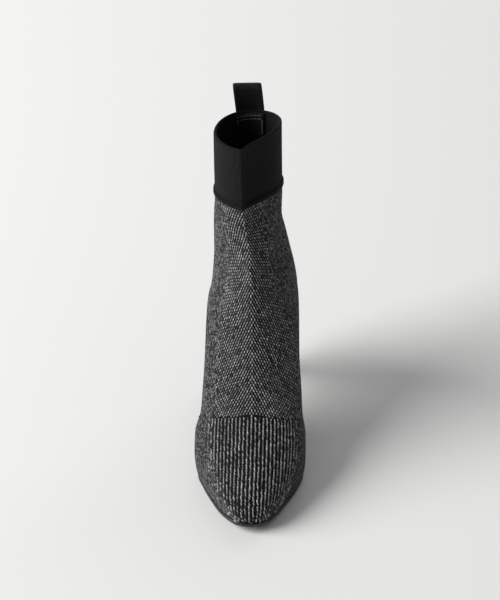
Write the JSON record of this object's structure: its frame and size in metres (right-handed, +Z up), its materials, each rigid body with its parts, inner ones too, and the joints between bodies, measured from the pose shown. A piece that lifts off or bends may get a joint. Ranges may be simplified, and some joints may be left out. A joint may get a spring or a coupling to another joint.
{
  "type": "sock boot",
  "caption": "Knitted ankle sock boot with a black elastic cuff, a tape pull loop and a slim mid heel.",
  "frame": {"origin": "middle of the boot's box on the floor it stands on", "axes": "+Z up, the toe points to -Y and the inner side of the foot to +X"},
  "size_m": [0.0836, 0.2418, 0.2464],
  "materials": {
    "charcoal_knit": "marl knit",
    "black_elastic": "ribbed elastic",
    "black_tape": "herringbone tape",
    "black_lining": "matte",
    "black_rubber": "satin",
    "black_heel": "satin"
  },
  "bodies": {
    "root": {"upper": "charcoal_knit", "cuff": "black_elastic", "pull_loop": "black_tape", "back_strip": "black_lining", "insole": "black_lining", "outsole": "black_rubber", "heel": "black_heel", "heel_top_piece": "black_rubber"}
  },
  "joints": []
}
